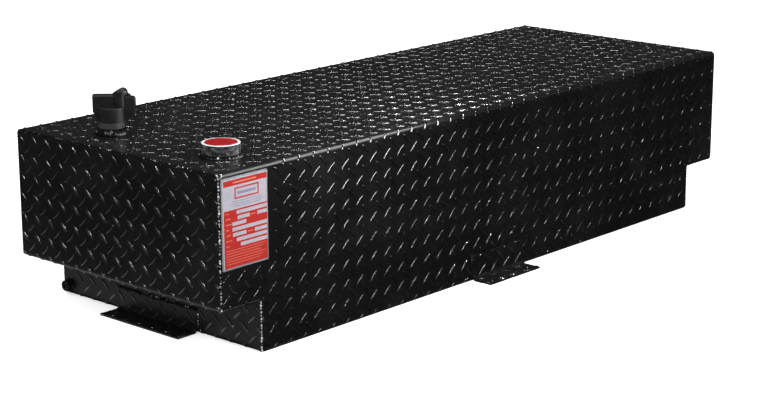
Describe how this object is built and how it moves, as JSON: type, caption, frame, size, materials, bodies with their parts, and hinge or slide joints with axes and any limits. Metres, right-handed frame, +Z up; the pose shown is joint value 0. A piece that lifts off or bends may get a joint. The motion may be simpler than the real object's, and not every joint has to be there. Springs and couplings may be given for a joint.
{
  "type": "truck bed transfer tank",
  "caption": "Black tread plate liquid transfer tank, T-shaped in side view to sit between wheel wells, with mounting feet, locking filler cap, pump port and drain.",
  "frame": {"origin": "bottom centre of the tank, on the surface that the feet stand on", "axes": "+X along the length away from the filler end, +Z up, the labelled long side faces -Y"},
  "size_m": [1.4224, 0.598, 0.3974],
  "materials": {
    "black_plate": "textured powder coat, half gloss",
    "black_weld": "powder coated weld bead",
    "bare_alloy": "turned, satin",
    "black_plastic": "moulded, fine grain",
    "red_plastic": "moulded, smooth",
    "seal_rubber": "soft, matt",
    "pale_nylon": "moulded, smooth",
    "bright_steel": "zinc plated",
    "lock_chrome": "plated",
    "label_film": "printed film on a thin plate"
  },
  "bodies": {
    "tank": {"wrapper_sheet": "black_plate", "belly_sheet": "black_plate", "left_baffle": "black_plate", "right_baffle": "black_plate", "front_foot": "black_plate", "back_foot": "black_plate", "left_foot": "black_plate", "right_foot": "black_plate", "filler_neck": "black_plate", "drain_coupling": "black_plate", "front_seam_weld": "black_weld", "back_seam_weld": "black_weld", "left_top_weld": "black_weld", "right_top_weld": "black_weld", "front_foot_welds": "black_weld", "back_foot_welds": "black_weld", "left_foot_welds": "black_weld", "right_foot_welds": "black_weld", "neck_weld": "black_weld", "bung_weld": "black_weld", "drain_weld": "black_weld", "port_bung": "bare_alloy", "label_plate": "label_film"},
    "cap_insert": {"cap_insert": "black_plastic", "cap_gasket": "seal_rubber", "vent_valve": "seal_rubber", "pivot_bush": "pale_nylon", "push_nut": "bright_steel"},
    "cap_shell": {"cap_shell": "black_plastic", "pivot_plug": "black_plastic", "cover_pin": "bright_steel"},
    "lock_cylinder": {"lock_cylinder": "lock_chrome", "lock_cam": "bright_steel"},
    "lock_cover": {"lock_cover": "black_plastic"},
    "port_plug": {"port_plug": "red_plastic"},
    "drain_plug": {"drain_plug": "black_plate"}
  },
  "joints": [
    {"name": "cap_lift", "type": "slide", "parent": "tank", "child": "cap_insert", "axis": [0, 0, 1], "range_m": [0, 0.06]},
    {"name": "cap_spin", "type": "hinge", "parent": "cap_insert", "child": "cap_shell", "pos_m": [-0.6262, 0.099, 0.3625], "axis": [0, 0, 1], "continuous": true},
    {"name": "lock_turn", "type": "hinge", "parent": "cap_shell", "child": "lock_cylinder", "pos_m": [-0.61653, 0.08833, 0.3725], "axis": [0, 0, 1], "range_deg": [0, 90]},
    {"name": "cover_flip", "type": "hinge", "parent": "cap_shell", "child": "lock_cover", "pos_m": [-0.60558, 0.07626, 0.3836], "axis": [0.7408, 0.6717, 0], "range_deg": [0, 100]},
    {"name": "port_plug_pull", "type": "slide", "parent": "tank", "child": "port_plug", "axis": [0, 0, 1], "range_m": [0, 0.03]},
    {"name": "drain_plug_pull", "type": "slide", "parent": "tank", "child": "drain_plug", "axis": [-1, 0, 0], "range_m": [0, 0.02]}
  ]
}
